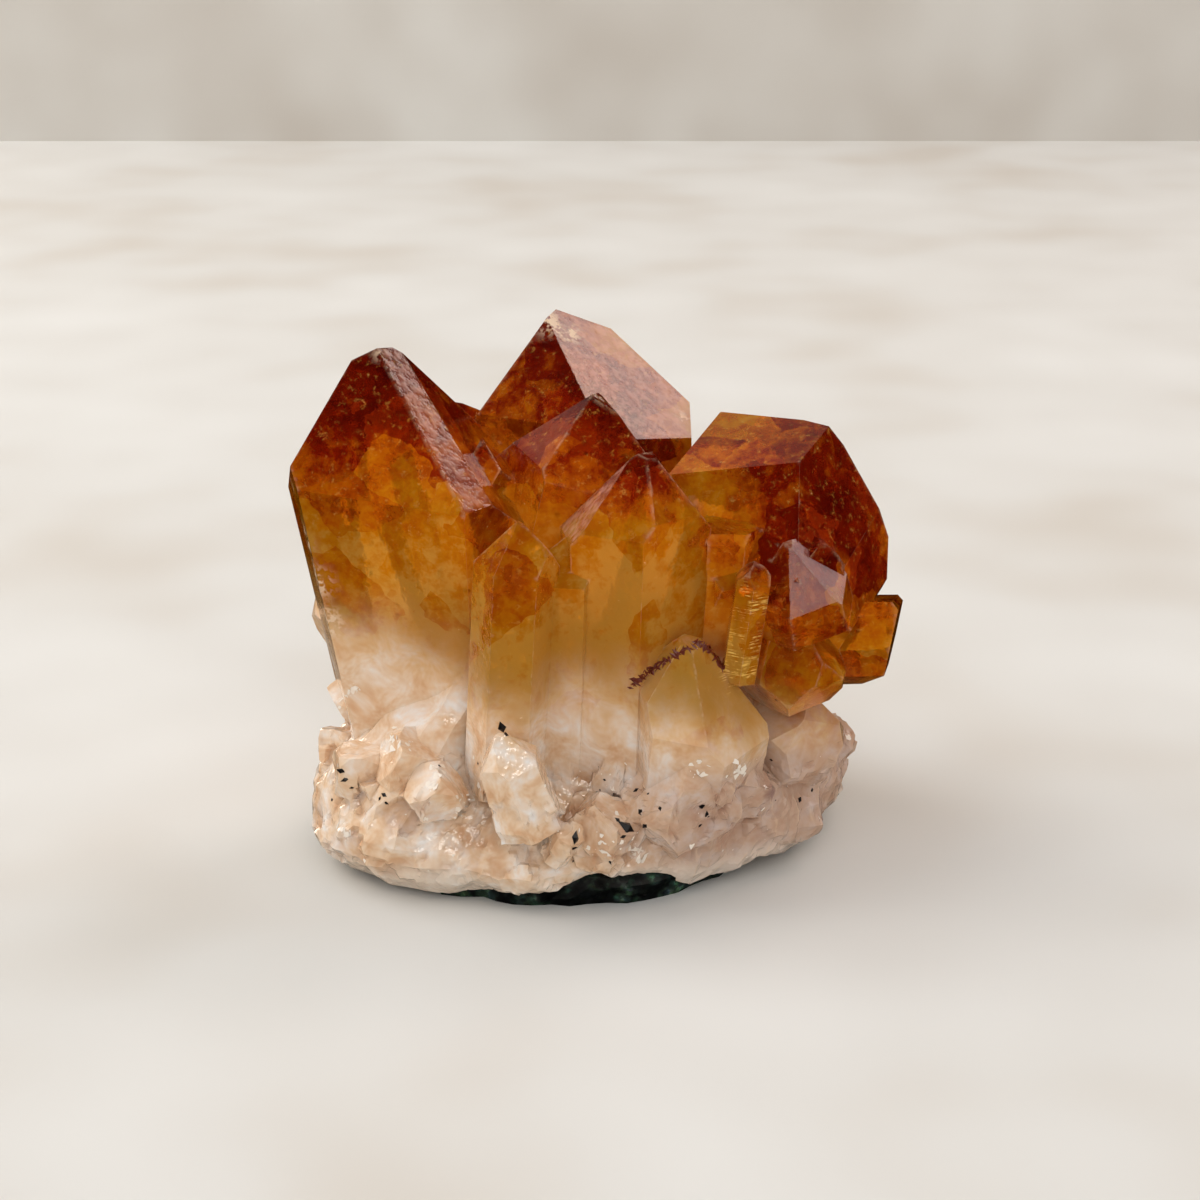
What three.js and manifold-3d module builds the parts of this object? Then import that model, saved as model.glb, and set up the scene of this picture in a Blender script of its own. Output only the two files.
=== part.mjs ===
// A citrine cluster: quartz points fused into one crystal body on a milky, broken base,
// with a crust of dark green rock under it. Millimetres, +Z up, the viewer stands at -Y.
import * as THREE from "three";
import { ImprovedNoise } from "three/addons/math/ImprovedNoise.js";
import { mergeVertices } from "three/addons/utils/BufferGeometryUtils.js";
import Module from "manifold-3d";

const wasm = await Module();
wasm.setup();

// Quartz: the cap faces lean 38.2 degrees from the long axis, six of them, 60 degrees apart.
const CAP_LEAN = THREE.MathUtils.degToRad(38.2);
const SIXTH = Math.PI / 3;

// A seeded source of even random numbers, so that each build is the same.
function randomSource(seed) {
  let state = seed >>> 0;
  return () => {
    state = (state + 0x6d2b79f5) >>> 0;
    let t = state;
    t = Math.imul(t ^ (t >>> 15), t | 1);
    t ^= t + Math.imul(t ^ (t >>> 7), t | 61);
    return ((t ^ (t >>> 14)) >>> 0) / 4294967296;
  };
}

// The part of a flat polygon on the inner side of a plane (normal . p <= reach).
function clipped(polygon, plane) {
  const kept = [];
  polygon.forEach((here, i) => {
    const next = polygon[(i + 1) % polygon.length];
    const a = plane.normal.dot(here) - plane.reach;
    const b = plane.normal.dot(next) - plane.reach;
    if (a <= 0) kept.push(here);
    if ((a < 0 && b > 0) || (a > 0 && b < 0)) kept.push(here.clone().lerp(next, a / (a - b)));
  });
  return kept;
}

// The convex solid that lies inside every plane, as a closed geometry with one fan for each face.
function solidInside(planes) {
  const far = 400;
  const corners = [];
  planes.forEach((plane, i) => {
    const side = new THREE.Vector3(1, 0, 0);
    if (Math.abs(plane.normal.x) > 0.7) side.set(0, 1, 0);
    const u = side.cross(plane.normal).normalize();
    const v = plane.normal.clone().cross(u);
    const middle = plane.normal.clone().multiplyScalar(plane.reach);
    let polygon = [[-1, -1], [1, -1], [1, 1], [-1, 1]].map(([s, t]) =>
      middle.clone().addScaledVector(u, s * far).addScaledVector(v, t * far));
    planes.forEach((other, j) => {
      if (j !== i && polygon.length) polygon = clipped(polygon, other);
    });
    for (let k = 1; k + 1 < polygon.length; k += 1) corners.push(polygon[0], polygon[k], polygon[k + 1]);
  });
  return new THREE.BufferGeometry().setFromPoints(corners);
}

// A closed geometry as a manifold solid.
function toSolid(geometry) {
  const bare = geometry.index ? geometry.toNonIndexed() : geometry.clone();
  bare.deleteAttribute("normal");
  bare.deleteAttribute("uv");
  const merged = mergeVertices(bare, 1e-3);
  return new wasm.Manifold(new wasm.Mesh({
    numProp: 3,
    vertProperties: new Float32Array(merged.attributes.position.array),
    triVerts: new Uint32Array(merged.index.array),
  }));
}

function toGeometry(solid) {
  const mesh = solid.getMesh();
  const geometry = new THREE.BufferGeometry();
  geometry.setAttribute("position", new THREE.Float32BufferAttribute(mesh.vertProperties, 3));
  geometry.setIndex(new THREE.BufferAttribute(new Uint32Array(mesh.triVerts), 1));
  const flat = geometry.toNonIndexed();
  flat.computeVertexNormals();
  return flat;
}

// The direction in which a flat face looks: round from +X (-90 is towards the viewer) and up from level.
function facing(round, rise) {
  const a = THREE.MathUtils.degToRad(round);
  const b = THREE.MathUtils.degToRad(rise);
  return new THREE.Vector3(Math.cos(a) * Math.cos(b), Math.sin(a) * Math.cos(b), Math.sin(b));
}

// One quartz point. tip and axis place it, width is across its flats at the shoulder, turn spins it about
// its axis. caps pushes each cap face out from the tip and sides moves each side face, as shares of the half
// width. taper is how fast it narrows below the shoulder, in degrees, and chip is the bruise on the tip.
// faces are its large, uneven faces and breaks: where each looks, and one place that it passes through.
function crystal({ tip, axis, width, turn, length, caps = [0, 0.25, 0, 0.25, 0, 0.25],
  sides = [1, 1, 1, 1, 1, 1], taper = 3, chip = 0.3, faces = [] }) {
  const half = width / 2;
  const shoulder = half / Math.tan(CAP_LEAN);
  const narrowing = THREE.MathUtils.degToRad(taper);
  const planes = [
    { normal: new THREE.Vector3(0, 0, -1), reach: length },
    { normal: new THREE.Vector3(0.25, -0.15, 1).normalize(), reach: -chip },
  ];
  for (let k = 0; k < 6; k += 1) {
    const angle = THREE.MathUtils.degToRad(turn) + k * SIXTH;
    const out = new THREE.Vector3(Math.cos(angle), Math.sin(angle), 0);
    planes.push({
      normal: out.clone().multiplyScalar(Math.cos(CAP_LEAN)).setZ(Math.sin(CAP_LEAN)),
      reach: caps[k] * half,
    });
    planes.push({
      normal: out.clone().multiplyScalar(Math.cos(narrowing)).setZ(-Math.sin(narrowing)),
      reach: half * sides[k] * Math.cos(narrowing) + shoulder * Math.sin(narrowing),
    });
  }
  const up = new THREE.Vector3(...axis).normalize();
  const across = new THREE.Vector3(1, 0, 0).addScaledVector(up, -up.x).normalize();
  const away = up.clone().cross(across);
  const turned = new THREE.Matrix4().makeBasis(across, away, up);
  const origin = new THREE.Vector3(...tip);
  const placed = planes.map(({ normal, reach }) => {
    const out = normal.clone().applyMatrix4(turned);
    return { normal: out, reach: reach + out.dot(origin) };
  });
  faces.forEach(({ round, rise, through }) => {
    const normal = facing(round, rise);
    placed.push({ normal, reach: normal.dot(new THREE.Vector3(...through)) });
  });
  return toSolid(solidInside(placed));
}

// The points that carry the cluster's shape, each where its tip stands.
const POINTS = {
  left_giant: {
    tip: [-23.6, 1, 59.4], axis: [-0.06, 0, 1], width: 22, turn: -105, length: 50,
    caps: [0.5, 0.6, 0.6, 0.35, 0.6, 0.6], sides: [1, 1.4, 1.25, 1, 1, 1.09], taper: 7, chip: 0,
    faces: [
      { round: -100, rise: 38, through: [-24.1, 1, 57.3] },
      { round: -50, rise: 48.7, through: [-24.1, 1, 57.3] },
      { round: -5, rise: 39, through: [-21.6, 2.2, 56.8] },
      { round: 60, rise: 40, through: [-21.5, 2.4, 57.1] },
      { round: 120, rise: 38, through: [-24, 2.6, 57.0] },
      { round: 172, rise: 28, through: [-27.9, -0.1, 55.8] },
    ],
  },
  back_giant: {
    tip: [-4.4, 14, 59.6], axis: [-0.08, 0, 1], width: 27, turn: -120, length: 52,
    caps: [0.5, 0.5, 0.5, 0.3, 0.4, 0.5], sides: [0.66, 1, 1, 1, 1, 1], taper: 3, chip: 1.0,
    faces: [
      { round: -120, rise: 38, through: [-5.9, 13.5, 58.0] },
      { round: -50, rise: 54, through: [-5.9, 13.5, 58.0] },
      { round: 20, rise: 42, through: [0.5, 16, 57.4] },
      { round: 80, rise: 38, through: [-3.5, 16, 58.2] },
      { round: 160, rise: 30, through: [-6.3, 13.7, 58.1] },
    ],
  },
  middle_dark: {
    tip: [0.3, 1, 53.2], axis: [0.27, -0.05, 1], width: 17.3, turn: -150, length: 42,
    caps: [0.16, 0.16, 0.5, -0.05, 0.05, 0], sides: [0.9, 1, 1, 1, 1, 1],
  },
  front_centre: {
    tip: [4.0, -8, 49.7], axis: [0.02, 0, 1], width: 15.2, turn: -110, length: 46, taper: 2,
    caps: [0.11, 0.18, 0.1, 0.05, -0.18, 0.02], sides: [1, 0.91, 1, 1, 1, 1.03],
  },
  right_giant: {
    tip: [23, -6, 49], axis: [0.3, -0.6, 1], width: 24, turn: -30, length: 42, taper: 3,
    caps: [0.1, 0.3, 0.3, 0.5, 0.4, 0.6], sides: [1.14, 1, 1, 1, 1, 1],
    faces: [
      { round: -124, rise: 70, through: [21.8, -4, 46.5] },
      { round: -106, rise: 37, through: [21.8, -4, 46.5] },
      { round: -43, rise: 26, through: [21.8, -4, 46.5] },
      { round: 37, rise: 22, through: [20.4, 10, 48] },
      { round: 50, rise: 30, through: [18.6, 7.2, 49.2] },
      { round: 0, rise: -2, through: [32.6, 0, 36] },
    ],
  },
  right_small: {
    tip: [43.5, -2.6, 27.4], axis: [1, -0.22, 0.12], width: 12.5, turn: -90, length: 27, taper: 0,
    faces: [
      { round: 95, rise: 74, through: [34, -1, 29.5] },
      { round: 4, rise: 42, through: [33.7, -1, 28.9] },
      { round: -12, rise: -9, through: [33.8, -1, 28] },
      { round: -25, rise: -50, through: [33.4, -1, 21.6] },
    ],
  },
  right_stub: { tip: [25.0, -14.2, 25.4], axis: [0.5, -0.9, 0.2], width: 9.5, turn: -75, length: 18, chip: 1.2 },
  lower_left: {
    tip: [-8.6, -14, 43.2], axis: [0.06, -0.06, 1], width: 8, turn: -90, length: 32, taper: 0,
    caps: [0, 0.3, 0, 0.2, 0, 0],
  },
  lower_right: {
    tip: [11.6, -15, 28.8], axis: [0.1, -0.25, 1], width: 14, turn: -100, length: 24, taper: 1,
    caps: [0.1, -0.1, 0, 0.2, 0.4, 0.35],
  },
  block: {
    tip: [13.8, -8, 44], axis: [0.04, -0.15, 1], width: 7, turn: -90, length: 26, taper: 1,
    faces: [{ round: -80, rise: 82, through: [13.8, -9.5, 40.3] }],
  },
  between: { tip: [-3.4, -11.0, 40.5], axis: [0.02, -0.05, 1], width: 7.5, turn: -95, length: 32, taper: 1 },
  golden_edge: {
    tip: [16.7, -13.4, 38.4], axis: [0.12, -0.05, 1], width: 3.6, turn: -60, length: 14, taper: 0,
  },
  striated: {
    tip: [20.3, -11, 39.4], axis: [-0.2, -0.4, 1], width: 9.5, turn: -70, length: 10.4, taper: -4,
    caps: [0, 0, 0.2, 0.1, 0.1, 0], sides: [1, 1.1, 1, 1, 1, 1],
  },
  etched: {
    tip: [24.2, -9, 39.2], axis: [0.35, -0.5, 1], width: 7.5, turn: -65, length: 16, taper: 1,
    faces: [{ round: -58, rise: 24, through: [24.8, -11, 35] }],
  },
};

// Growth steps: smaller points with the same faces as the giant that they stand on.
const STEPS = [
  { on: "left_giant", tip: [-18.2, -1.6, 51.6], width: 8 },
  { on: "left_giant", tip: [-15.4, -4.6, 47.6], width: 7 },
  { on: "left_giant", tip: [-13.0, -1.0, 48.4], width: 6.5 },
  { on: "left_giant", tip: [-26.5, 6.5, 52.2], width: 9 },
  { on: "back_giant", tip: [1.5, 20.0, 52.6], width: 9 },
  { on: "right_giant", tip: [20.5, 11.0, 42.0], width: 10 },
];

// Points on the far side, which the photograph doesn't show.
const BEHIND = {
  far_left: { tip: [-17, 16, 48], axis: [-0.25, 0.22, 1], width: 15, turn: 40, length: 36 },
  far_middle: { tip: [3, 23.5, 43], axis: [0.02, 0.35, 1], width: 14, turn: 75, length: 36 },
  far_right: { tip: [19, 19, 40], axis: [0.35, 0.3, 1], width: 16, turn: 100, length: 34 },
  far_low: { tip: [-8, 24.5, 30], axis: [-0.1, 0.7, 1], width: 10, turn: 60, length: 24 },
  far_corner: { tip: [29, 12, 28], axis: [0.8, 0.3, 0.8], width: 9, turn: 10, length: 22 },
  left_low: { tip: [-31.5, 8, 30], axis: [-0.6, 0.3, 1], width: 8.5, turn: 20, length: 20 },
};

// The pale blade on the front of the base, and the stubs and broken blocks beside it.
const BLADES = {
  leaf: {
    tip: [-10.8, -20.4, 21.2], axis: [-0.3, -0.1, 1], width: 6.2, turn: -60, length: 12, taper: -2,
    caps: [0, 0.1, 0.1, 0.1, 0.1, 0.2], chip: 0.2,
  },
  leaf_foot: { tip: [-2.6, -21.2, 11.4], axis: [0.5, -0.3, 1], width: 3, turn: -40, length: 6 },
  lens: { tip: [10.4, -20.4, 16.8], axis: [0.2, -0.75, 0.65], width: 12.5, turn: -62, length: 13, chip: 1.4 },
  foot_block: { tip: [2.6, -22.2, 9.6], axis: [0.35, -0.9, 0.3], width: 8, turn: -48, length: 10, chip: 0.9 },
  right_wall: { tip: [24.6, -9.4, 20.6], axis: [0.5, -0.6, 0.9], width: 10.5, turn: -66, length: 16, chip: 1.6 },
  window_low: { tip: [-17.0, -19.6, 14.6], axis: [0.25, -0.9, 0.55], width: 6.4, turn: -82, length: 11, chip: 0.6 },
  left_corner: { tip: [-28.6, -13.6, 15.2], axis: [-0.5, -0.8, 0.7], width: 6.6, turn: -52, length: 11, chip: 0.4 },
  left_foot: { tip: [-22.6, -19.4, 7.4], axis: [-0.2, -0.95, 0.25], width: 8.5, turn: -70, length: 10, chip: 1.2 },
  left_window: { tip: [-21.4, -16.2, 17.2], axis: [-0.1, -0.9, 0.7], width: 7.5, turn: -70, length: 12 },
  left_stub: { tip: [-25.6, -15.2, 12.5], axis: [-0.4, -0.9, 0.6], width: 5.5, turn: -30, length: 10 },
  right_shell: { tip: [17.2, -15.6, 14.2], axis: [0.4, -0.8, 0.6], width: 7.5, turn: -80, length: 12, chip: 1 },
  right_shell_low: { tip: [20.4, -11.6, 9.2], axis: [0.6, -0.8, 0.4], width: 8, turn: -60, length: 12, chip: 1 },
  right_bump: { tip: [30.6, 3, 10.6], axis: [1, -0.2, 0.2], width: 6, turn: -60, length: 12, chip: 1 },
};

// The milky base: its outline, where it is widest, and how it draws in above and below, as shares of its
// half length and half depth. Its front slopes back early, so that the points grow straight out of it.
const BASE = { middle: [-2.2, 1.6], halfLength: 31.4, halfDepth: 22, turn: 14, around: 96, roof: 24.4 };
const BASE_LEVELS = [
  { z: 1.2, long: 0.9, deep: 0.9 }, { z: 2.6, long: 0.96, deep: 0.955 }, { z: 4.6, long: 0.99, deep: 0.98 },
  { z: 6.8, long: 1, deep: 0.99 }, { z: 9, long: 0.985, deep: 0.97 }, { z: 11.2, long: 0.965, deep: 0.945 },
  { z: 13.4, long: 0.95, deep: 0.91 }, { z: 15.6, long: 0.92, deep: 0.87 }, { z: 17.8, long: 0.87, deep: 0.82 },
  { z: 20, long: 0.8, deep: 0.74 }, { z: 22, long: 0.68, deep: 0.6 }, { z: 23.6, long: 0.5, deep: 0.4 },
];

// The rock under it, flat below, as broken off its bed.
const RIND = { middle: [-3.4, -3.6], halfLength: 20, halfDepth: 16.4, turn: 8, around: 56, gap: 0.45 };
const RIND_LEVELS = [
  { z: 0, long: 0.95, deep: 0.95 }, { z: 1.1, long: 0.99, deep: 0.99 }, { z: 2.4, long: 1, deep: 1 },
  { z: 3.6, long: 0.94, deep: 0.94 }, { z: 4.4, long: 0.75, deep: 0.75 },
];

const noise = new ImprovedNoise();

// Soft bumps and dents, size across and about one high.
function lumps(p, size, seed) {
  return noise.noise(p.x / size + seed, p.y / size - seed, p.z / size + 2 * seed);
}

// The place on an oval's rim at an angle from its long axis, at shares of its half length and half depth.
function onRim({ middle, halfLength, halfDepth, turn }, angle, { long, deep, z }) {
  const spin = THREE.MathUtils.degToRad(turn);
  const x = halfLength * long * Math.cos(angle);
  const y = halfDepth * deep * Math.sin(angle);
  return new THREE.Vector3(x * Math.cos(spin) - y * Math.sin(spin) + middle[0],
    x * Math.sin(spin) + y * Math.cos(spin) + middle[1], z);
}

// A closed body through rings of points, with a foot and a roof in the middle.
function ringBody(rings, foot, roof) {
  const around = rings[0].length;
  const points = [];
  for (let k = 0; k < around; k += 1) {
    const next = (k + 1) % around;
    for (let i = 0; i + 1 < rings.length; i += 1) {
      points.push(rings[i][k], rings[i][next], rings[i + 1][next]);
      points.push(rings[i][k], rings[i + 1][next], rings[i + 1][k]);
    }
    points.push(foot, rings[0][next], rings[0][k], roof, rings.at(-1)[k], rings.at(-1)[next]);
  }
  return toSolid(new THREE.BufferGeometry().setFromPoints(points));
}

// Flat breaks all round the base, each a plane that slices a little off it.
function baseBreaks(count, random) {
  return Array.from({ length: count }, (_, i) => {
    const angle = ((i + 0.8 * random()) / count) * 2 * Math.PI;
    const level = BASE_LEVELS[2 + Math.floor(random() * (BASE_LEVELS.length - 4))];
    const place = onRim(BASE, angle, level);
    const normal = place.clone().sub(onRim(BASE, angle, { long: 0.8, deep: 0.8, z: level.z - 4 })).normalize();
    normal.x += 0.5 * (random() - 0.5);
    normal.y += 0.5 * (random() - 0.5);
    normal.z += 0.9 * (random() - 0.5);
    normal.normalize();
    return { normal, reach: normal.dot(place) + 0.7 + 0.9 * random() };
  });
}

function milkyBase() {
  const breaks = baseBreaks(34, randomSource(12));
  const { middle, around, roof } = BASE;
  const rings = BASE_LEVELS.map((level, i) => Array.from({ length: around }, (_, k) => {
    const p = onRim(BASE, (k / around) * 2 * Math.PI, level);
    const out = p.clone().sub(new THREE.Vector3(...middle, level.z)).normalize();
    p.addScaledVector(out, 2.4 * lumps(p, 11, 3) + 1.2 * lumps(p, 4.5, 8));
    breaks.forEach(({ normal, reach }) => {
      const over = normal.dot(p) - reach;
      const slope = normal.dot(out);
      if (over > 0 && slope > 0.5) p.addScaledVector(out, -over / slope);
    });
    p.z += i === 0 ? 1.2 * lumps(p, 5, 5) : 0.8 * lumps(p, 4, 9);
    return p;
  }));
  return ringBody(rings, new THREE.Vector3(...middle, 2), new THREE.Vector3(...middle, roof));
}

// Small points that stand out of the base at its ends and on the far side.
function druse(count, random) {
  return Array.from({ length: count }, (_, i) => {
    const angle = THREE.MathUtils.degToRad(4 + (170 * (i + 0.8 * random())) / count);
    const level = (i * 0.618 + 0.2 * random()) % 1;
    const draw = 0.93 - 0.12 * level;
    const foot = onRim(BASE, angle, { long: draw, deep: draw, z: 3.5 + 15 * level });
    const out = foot.clone().sub(onRim(BASE, angle, { long: 0.5, deep: 0.5, z: foot.z })).normalize();
    const axis = out.clone().setZ(0.3 + 0.9 * random());
    axis.x += 0.5 * (random() - 0.5);
    axis.normalize();
    const stick = 2.4 + 2.0 * random();
    const tip = foot.addScaledVector(axis, stick).toArray();
    return crystal({
      tip, axis: axis.toArray(), width: 3 + 3 * random(), turn: 360 * random(), length: stick + 3, chip: 0.15,
    });
  });
}

function step({ on, tip, width }) {
  const giant = POINTS[on];
  const faces = giant.faces.map((face) => ({ ...face, through: tip }));
  return crystal({ ...giant, tip, width, faces, length: width * 1.6, sides: [1, 1, 1, 1, 1, 1], taper: 1 });
}

// The rind, grown by a gap where it is the space that the cluster leaves for it.
function rind(gap) {
  const { middle, halfLength, halfDepth, around } = RIND;
  const rings = RIND_LEVELS.map((level, i) => Array.from({ length: around }, (_, k) => {
    const p = onRim(RIND, (k / around) * 2 * Math.PI, level);
    const out = p.clone().sub(new THREE.Vector3(...middle, level.z)).normalize();
    const rough = 1.6 * lumps(p, 7, 21) + 0.9 * lumps(p, 3, 33);
    p.z += i === 0 ? -gap : 0.5 * lumps(p, 4, 17) + (i > 2 ? gap : 0);
    return p.addScaledVector(out, rough + gap);
  }));
  return ringBody(rings, new THREE.Vector3(...middle, -gap), new THREE.Vector3(...middle, 4.9 + gap));
}

// The outer skin alone: gaps that the grown points close off inside are filled with quartz.
function filled(solid) {
  const skins = solid.decompose();
  return skins.reduce((largest, skin) => (skin.volume() > largest.volume() ? skin : largest));
}

const cluster = filled(wasm.Manifold.union([
  milkyBase(),
  ...Object.values(POINTS).map(crystal),
  ...Object.values(BEHIND).map(crystal),
  ...Object.values(BLADES).map(crystal),
  ...STEPS.map(step),
  ...druse(40, randomSource(5)),
]).subtract(rind(RIND.gap)));

function piece(name, solid, color, roughness) {
  const mesh = new THREE.Mesh(toGeometry(solid), new THREE.MeshStandardMaterial({ color, roughness, metalness: 0 }));
  mesh.name = name;
  return mesh;
}

const model = new THREE.Group();
model.add(piece("crystal_cluster", cluster, 0xc07a2c, 0.12));
model.add(piece("rock_rind", rind(0), 0x26332c, 0.8));

export default model;
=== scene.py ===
# %% [markdown]
# # A citrine cluster
# A hand-size piece of natural quartz. Its points are clear and amber, darkest red-brown at their tips.
# They fade through gold into a milky, pinkish white base. A crust of dark green rock sits under the base.
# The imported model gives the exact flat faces. This script adds what the eye sees on and in them.

# %% Load the frame and measure it
import math

import bpy
import numpy as np
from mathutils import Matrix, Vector
from mathutils.bvhtree import BVHTree


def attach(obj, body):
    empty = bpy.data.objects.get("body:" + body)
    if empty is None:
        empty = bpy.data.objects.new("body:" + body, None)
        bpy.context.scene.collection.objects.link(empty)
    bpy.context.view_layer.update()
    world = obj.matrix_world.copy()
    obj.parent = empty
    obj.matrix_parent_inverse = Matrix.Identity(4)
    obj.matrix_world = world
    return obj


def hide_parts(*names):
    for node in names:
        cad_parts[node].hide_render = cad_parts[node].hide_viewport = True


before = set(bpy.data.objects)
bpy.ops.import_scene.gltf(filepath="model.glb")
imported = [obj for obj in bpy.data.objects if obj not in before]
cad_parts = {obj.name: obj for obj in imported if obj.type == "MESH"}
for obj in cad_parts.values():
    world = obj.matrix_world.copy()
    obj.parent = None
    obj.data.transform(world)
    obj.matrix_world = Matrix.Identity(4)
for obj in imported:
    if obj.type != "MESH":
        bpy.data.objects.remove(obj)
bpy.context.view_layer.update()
MM = 0.001

# %% [markdown]
# ## The camera
# The photograph looks down at about 20 degrees, from near enough for the back points to look smaller.
# A 75 mm lens on a 36 mm frame, 283 mm from the middle of the cluster, gives the same outline.

# %% Camera
AIM = np.array([0.0, 0.0, 29.0]) * MM
DISTANCE = 283 * MM
ELEVATION = math.radians(20)
LENS_MM, SENSOR_MM = 75, 36
EYE = AIM + DISTANCE * np.array([0.0, -math.cos(ELEVATION), math.sin(ELEVATION)])

camera = bpy.data.objects.new("camera", bpy.data.cameras.new("camera"))
camera.data.lens = LENS_MM
camera.data.sensor_width = SENSOR_MM
camera.location = EYE
camera.rotation_euler = (math.pi / 2 - ELEVATION, 0, 0)
scene = bpy.context.scene
scene.collection.objects.link(camera)
scene.camera = camera
print("camera at mm:", np.round(EYE / MM, 1).tolist())

# %% Colour and light paths
# Standard keeps the colours as saturated as the photograph's. Light takes few turns here: more would cost
# time and wouldn't show, because the clouds inside the quartz scatter it first.
FEW_TURNS, CLEAR_TURNS = 2, 5
scene.view_settings.view_transform = "Standard"
scene.cycles.max_bounces = CLEAR_TURNS
scene.cycles.diffuse_bounces = FEW_TURNS
scene.cycles.glossy_bounces = FEW_TURNS
scene.cycles.transmission_bounces = CLEAR_TURNS

# %% [markdown]
# ## Small helpers
# Colours are written as sRGB hex, as an artist picks them, and turned to the linear values that light needs.
# One function adds a node, sets its values and joins its inputs, so that each finish reads as a recipe.


# %% Colour and nodes
def linear(code, alpha=1.0):
    """An sRGB hex colour as linear red, green, blue and alpha."""
    channels = [int(code[i:i + 2], 16) / 255 for i in (1, 3, 5)]
    return [c / 12.92 if c <= 0.04045 else ((c + 0.055) / 1.055) ** 2.4 for c in channels] + [alpha]


def node(tree, kind, inputs=(), **settings):
    """Adds a node. inputs fills its sockets, in turn or by name or number, each with a plain value, another
    node's output, or a node, which stands for its first working output."""
    made = tree.nodes.new("ShaderNode" + kind)
    for name, value in settings.items():
        setattr(made, name, value)
    for socket, value in inputs.items() if isinstance(inputs, dict) else enumerate(inputs):
        if isinstance(value, bpy.types.Node):
            value = next(output for output in value.outputs if output.enabled)
        if isinstance(value, bpy.types.NodeSocket):
            tree.links.new(value, made.inputs[socket])
        else:
            made.inputs[socket].default_value = value
    return made


# The settings that many nodes share: sums, colours to mix, and a range that eases in and out.
TIMES = {"operation": "MULTIPLY"}
PLUS = {"operation": "ADD"}
LARGER = {"operation": "MAXIMUM"}
COLOURS = {"data_type": "RGBA"}
SMOOTH = {"interpolation_type": "SMOOTHSTEP"}


def set_stops(ramp, stops):
    """Gives a colour ramp its stops, each a place from 0 to 1 and a hex colour."""
    elements = ramp.color_ramp.elements
    while len(elements) < len(stops):
        elements.new(0.5)
    for element, (where, code) in zip(elements, stops):
        element.position = where
        element.color = linear(code)


def new_material(name):
    """An empty material and its node tree."""
    material = bpy.data.materials.new(name)
    material.use_nodes = True
    material.node_tree.nodes.clear()
    return material, material.node_tree


def plain_finish(made, name, sockets):
    """Gives a piece a finish of one shader with these inputs."""
    material, tree = new_material(name)
    node(tree, "OutputMaterial", {"Surface": node(tree, "BsdfPrincipled", sockets)})
    made.data.materials.append(material)


# %% [markdown]
# ## Noise in numpy
# Broken quartz is rough in two ways: soft bumps, and small flat chips that meet at crisp edges. Both are
# worked out for all points at once. Soft bumps come from random values on a grid, smoothly blended. Chips
# come from random seeds, one in each cell of a grid: a point belongs to the nearest seed, on its tilt.


# %% Noise
def scatter(cells, seed):
    """Three even random numbers from -1 to 1 for each row of whole numbers, the same for the same row."""
    mixed = cells.astype(np.int64) @ np.array([73856093, 19349663, 83492791]) + seed * 2654435761
    out = []
    for turn in (1, 2, 3):
        mixed = (mixed ^ (mixed >> 13)) * 1274126177 + turn * 97
        mixed = (mixed ^ (mixed >> 16)) & 0x7FFFFFFF
        out.append(mixed / 0x3FFFFFFF - 1.0)
    return np.stack(out, -1)


def soft(points, size, seed=1):
    """Smooth bumps about size across, from -1 to 1: grid values blended by 3t^2 - 2t^3 along each axis."""
    p = points / size
    low = np.floor(p)
    t = p - low
    t = t * t * (3 - 2 * t)
    total = np.zeros(len(p))
    for corner in np.ndindex(2, 2, 2):
        share = np.prod(np.where(corner, t, 1 - t), axis=1)
        total += share * scatter(low + corner, seed)[:, 0]
    return total


def chips(points, size, seed=1):
    """Flat chips about size across: height over the nearest seed's tilted plane, from about -1 to 1."""
    p = points / size
    low = np.floor(p)
    nearest = np.full(len(p), 9.0)
    height = np.zeros(len(p))
    for corner in np.ndindex(3, 3, 3):
        cell = low + np.array(corner) - 1
        away = p - (cell + 0.5 + 0.45 * scatter(cell, seed))
        distance = (away * away).sum(1)
        closer = distance < nearest
        tilt = scatter(cell, seed + 7)
        nearest = np.where(closer, distance, nearest)
        height = np.where(closer, (away * tilt).sum(1) + 0.5 * tilt[:, 0], height)
    return height


def step(low, high, x):
    """0 below low, 1 above high, smooth between. low may be the larger one."""
    t = np.clip((x - low) / (high - low), 0, 1)
    return t * t * (3 - 2 * t)


# %% [markdown]
# ## A fine copy of a solid
# The model's faces are large flat triangles. To dress one, its triangles are merged into one skin and every
# edge that is too long is halved, again and again. Both triangles beside an edge use the same midpoint,
# so the skin stays closed.


# %% Fine skins
def skin_of(name):
    """A node's points (mm) and triangles, with the points of neighbouring triangles merged."""
    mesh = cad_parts[name].data
    mesh.calc_loop_triangles()
    points = np.empty(len(mesh.vertices) * 3)
    mesh.vertices.foreach_get("co", points)
    corners = np.empty(len(mesh.loop_triangles) * 3, dtype=np.int64)
    mesh.loop_triangles.foreach_get("vertices", corners)
    points = points.reshape(-1, 3) / MM
    keys = np.round(points / 0.002).astype(np.int64)
    _, first, group = np.unique(keys, axis=0, return_index=True, return_inverse=True)
    triangles = group.reshape(-1)[corners].reshape(-1, 3)
    whole = (triangles != np.roll(triangles, 1, axis=1)).all(axis=1)
    return points[first], triangles[whole]


def edges_of(triangles):
    """The three edges of each triangle, each as its two points in rising order."""
    return np.sort(np.stack([triangles, np.roll(triangles, -1, axis=1)], -1).reshape(-1, 2), axis=1)


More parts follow.
